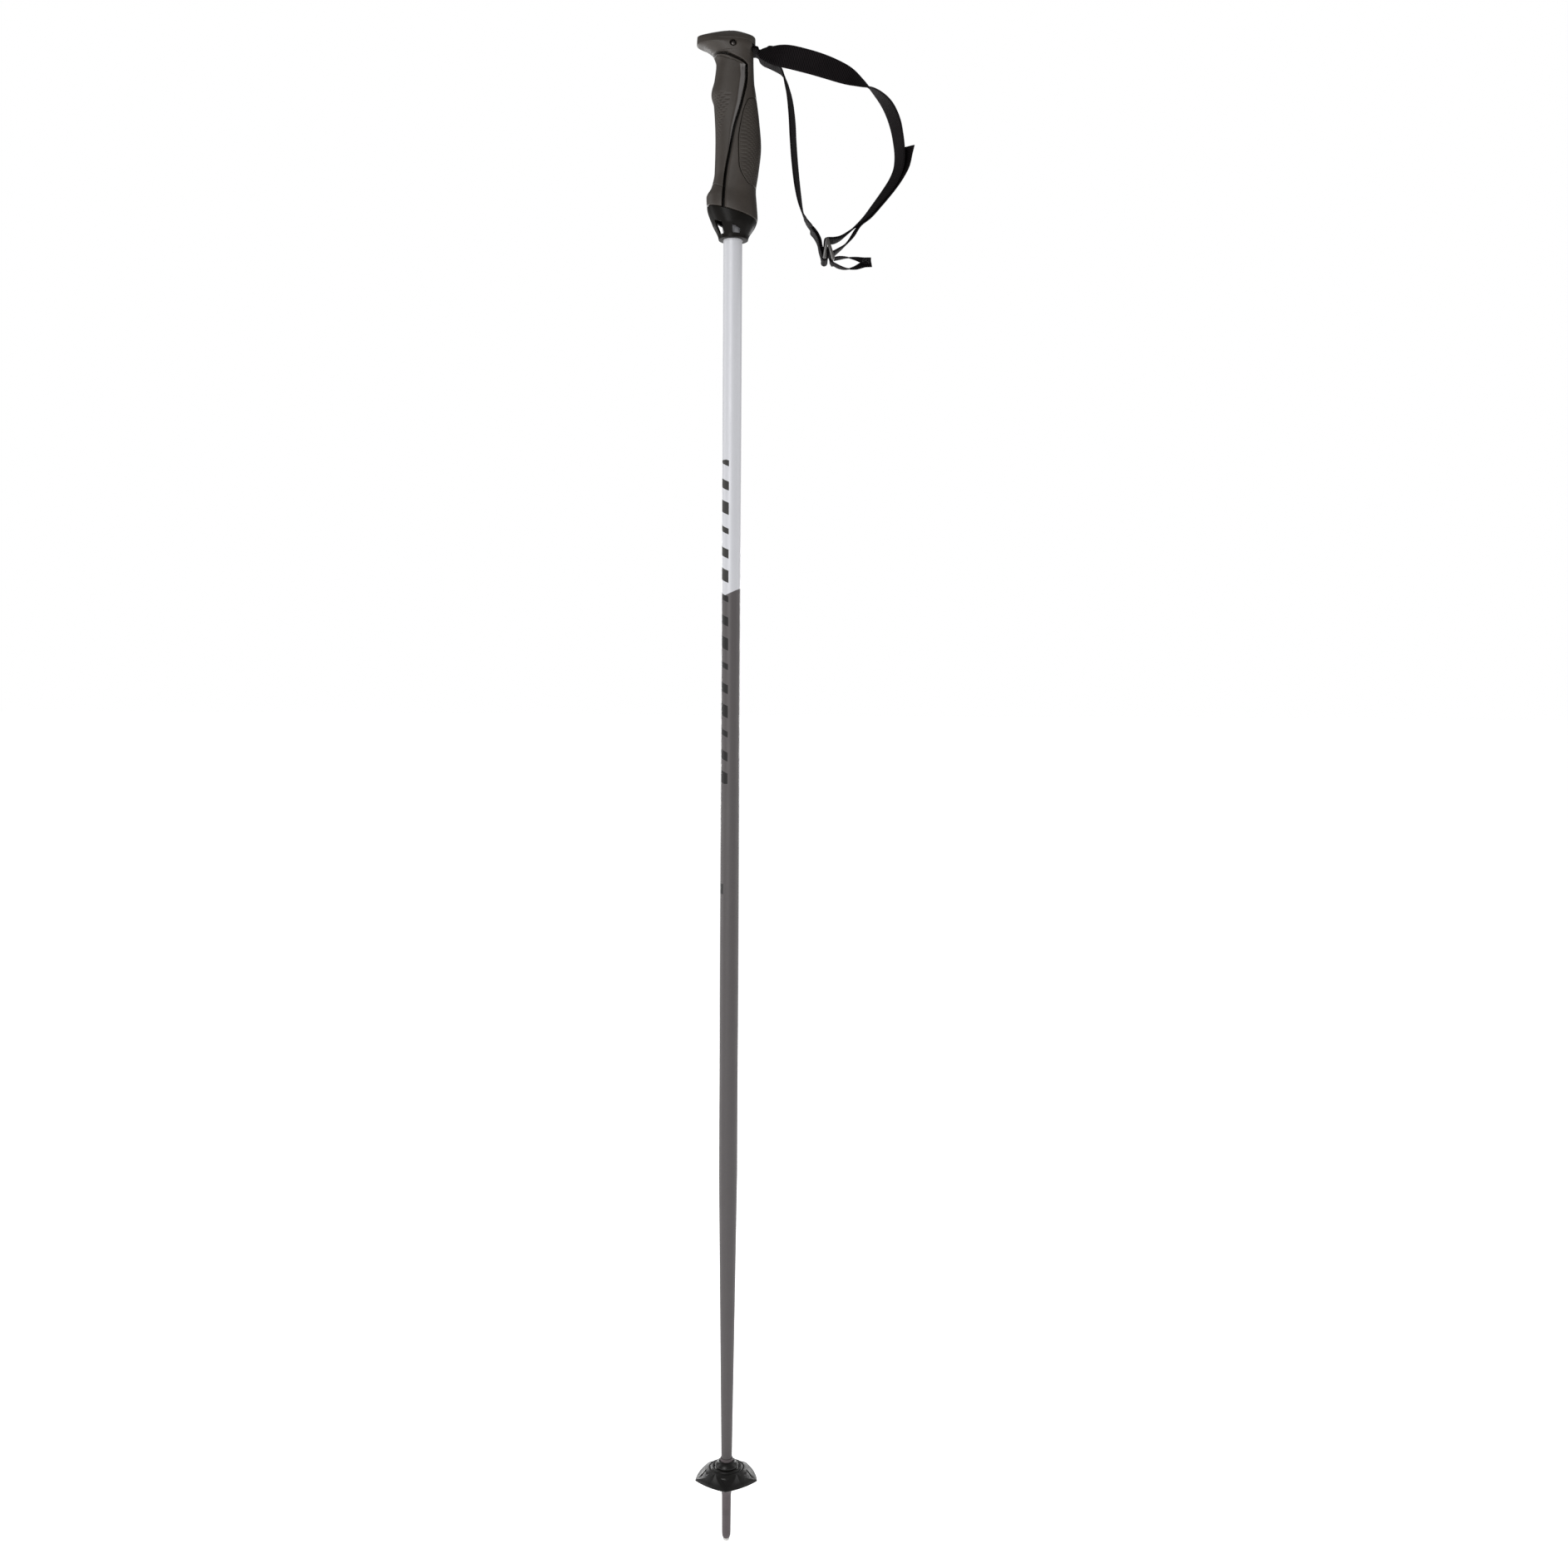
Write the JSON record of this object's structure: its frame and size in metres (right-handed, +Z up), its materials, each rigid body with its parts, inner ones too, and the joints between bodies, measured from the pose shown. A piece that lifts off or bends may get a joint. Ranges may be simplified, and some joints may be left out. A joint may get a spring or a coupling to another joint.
{
  "type": "ski pole",
  "caption": "Alpine ski pole with a tapered alloy tube, moulded grip, adjustable webbing wrist strap, small snow basket and steel tip",
  "frame": {"origin": "centre of the steel tip's flat end, where the pole stands on the ground", "axes": "+Z up along the tube's axis; +X to the rear of the grip, where the wrist strap leaves the head; -X is the beak side; +Y across the grip"},
  "size_m": [0.1804, 0.0532, 1.3],
  "materials": {
    "painted_tube": "satin silver-white over satin anthracite lacquer on alloy tube",
    "grey_plastic": "moulded grey plastic",
    "steel": "ground steel",
    "basket_plastic": "semi-gloss black moulding",
    "core_plastic": "semi-gloss black moulding",
    "shell_rubber": "soft brown-grey moulding, satin",
    "pad_rubber": "soft brown-grey moulding, fine dimpled",
    "webbing_fabric": "ribbed black polyester webbing",
    "buckle_plastic": "glossy dark grey moulding"
  },
  "bodies": {
    "root": {"shaft_tube": "painted_tube", "tip_ferrule": "grey_plastic", "tip_insert": "steel", "grip_core": "core_plastic", "grip_head": "shell_rubber", "grip_finger_pad": "shell_rubber", "grip_palm_pad": "pad_rubber", "grip_collar": "core_plastic", "shaft_plug": "core_plastic", "strap_pin": "steel", "strap_pin_cap": "steel", "strap_anchor": "webbing_fabric"},
    "basket": {"basket": "basket_plastic"},
    "strap": {"strap_long_side": "webbing_fabric", "strap_short_side": "webbing_fabric"},
    "slider": {"strap_slider": "buckle_plastic", "strap_fold": "webbing_fabric"},
    "tab": {"pull_tab": "webbing_fabric"}
  },
  "joints": [
    {"name": "basket_turn", "type": "hinge", "parent": "root", "child": "basket", "pos_m": [0, 0, 0.06], "axis": [0, 0, 1], "continuous": true},
    {"name": "strap_swing", "type": "hinge", "parent": "root", "child": "strap", "pos_m": [0.0205, 0, 1.2823], "axis": [0, -1, 0], "range_deg": [-12, 60]},
    {"name": "slider_tilt", "type": "hinge", "parent": "strap", "child": "slider", "pos_m": [0.08, 0, 1.1222], "axis": [0, -1, 0], "range_deg": [-8, 4]},
    {"name": "pull_tab_swing", "type": "hinge", "parent": "slider", "child": "tab", "pos_m": [0.0849, 0, 1.1072], "axis": [0, -1, 0], "range_deg": [-70, 20]}
  ]
}
